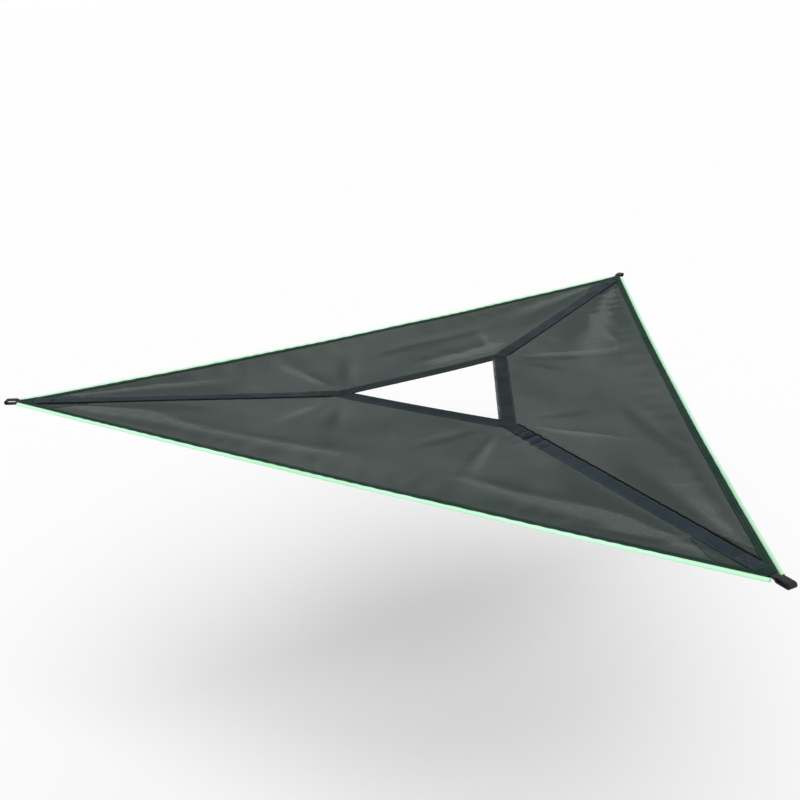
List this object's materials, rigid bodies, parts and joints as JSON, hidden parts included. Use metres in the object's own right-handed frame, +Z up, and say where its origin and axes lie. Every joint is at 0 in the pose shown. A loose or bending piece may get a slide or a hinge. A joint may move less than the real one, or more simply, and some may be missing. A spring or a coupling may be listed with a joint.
{
  "type": "triangle hammock",
  "caption": "Taut triangular mesh hammock with webbing seams from its corner loops to a triangular access hole, dark hems and a pale piped edge.",
  "frame": {"origin": "centre of the triangle, at the height of the three loop eyes", "axes": "+Z up, -Y towards the middle of the front rim, +X towards the right corner, +Y towards the rear corner"},
  "size_m": [2.8658, 2.4819, 0.0394],
  "materials": {
    "mesh": "dark grey-green woven mesh, see-through",
    "radial_webbing": "slate-blue woven webbing",
    "hole_webbing": "dark blue-grey woven webbing",
    "binding": "black round welt",
    "hem": "dark green-black tape",
    "piping": "pale mint-green piping tape",
    "piping_filler": "undyed twisted cord",
    "loop_webbing": "black woven webbing",
    "patch": "dark woven reinforcement",
    "thread": "grey stitching thread"
  },
  "bodies": {
    "hammock": {"front_mesh_panel": "mesh", "front_rim_hem": "hem", "front_edge_piping": "piping", "front_piping_filler": "piping_filler", "front_hole_strap": "hole_webbing", "right_mesh_panel": "mesh", "right_rim_hem": "hem", "right_edge_piping": "piping", "right_piping_filler": "piping_filler", "right_hole_strap": "hole_webbing", "left_mesh_panel": "mesh", "left_rim_hem": "hem", "left_edge_piping": "piping", "left_piping_filler": "piping_filler", "left_hole_strap": "hole_webbing", "left_radial_strap": "radial_webbing", "left_seam_binding": "binding", "left_loop_tail": "radial_webbing", "left_corner_patch": "patch", "left_hole_corner_patch": "hole_webbing", "left_loop_stitching": "thread", "left_hole_stitching": "thread", "right_radial_strap": "radial_webbing", "right_seam_binding": "binding", "right_loop_tail": "radial_webbing", "right_corner_patch": "patch", "right_hole_corner_patch": "hole_webbing", "right_loop_stitching": "thread", "right_hole_stitching": "thread", "rear_radial_strap": "radial_webbing", "rear_seam_binding": "binding", "rear_loop_tail": "radial_webbing", "rear_corner_patch": "patch", "rear_hole_corner_patch": "hole_webbing", "rear_loop_stitching": "thread", "rear_hole_stitching": "thread"},
    "left_loop": {"left_corner_loop": "loop_webbing"},
    "right_loop": {"right_corner_loop": "loop_webbing"},
    "rear_loop": {"rear_corner_loop": "loop_webbing"}
  },
  "joints": [
    {"name": "left_loop_flex", "type": "hinge", "parent": "hammock", "child": "left_loop", "pos_m": [-1.37402, -0.79329, 0], "axis": [-0.5, 0.866, 0], "range_deg": [-90, 90]},
    {"name": "right_loop_flex", "type": "hinge", "parent": "hammock", "child": "right_loop", "pos_m": [1.37402, -0.79329, 0], "axis": [-0.5, -0.866, 0], "range_deg": [-90, 90]},
    {"name": "rear_loop_flex", "type": "hinge", "parent": "hammock", "child": "rear_loop", "pos_m": [0, 1.58658, 0], "axis": [1, 0, 0], "range_deg": [-90, 90]}
  ]
}
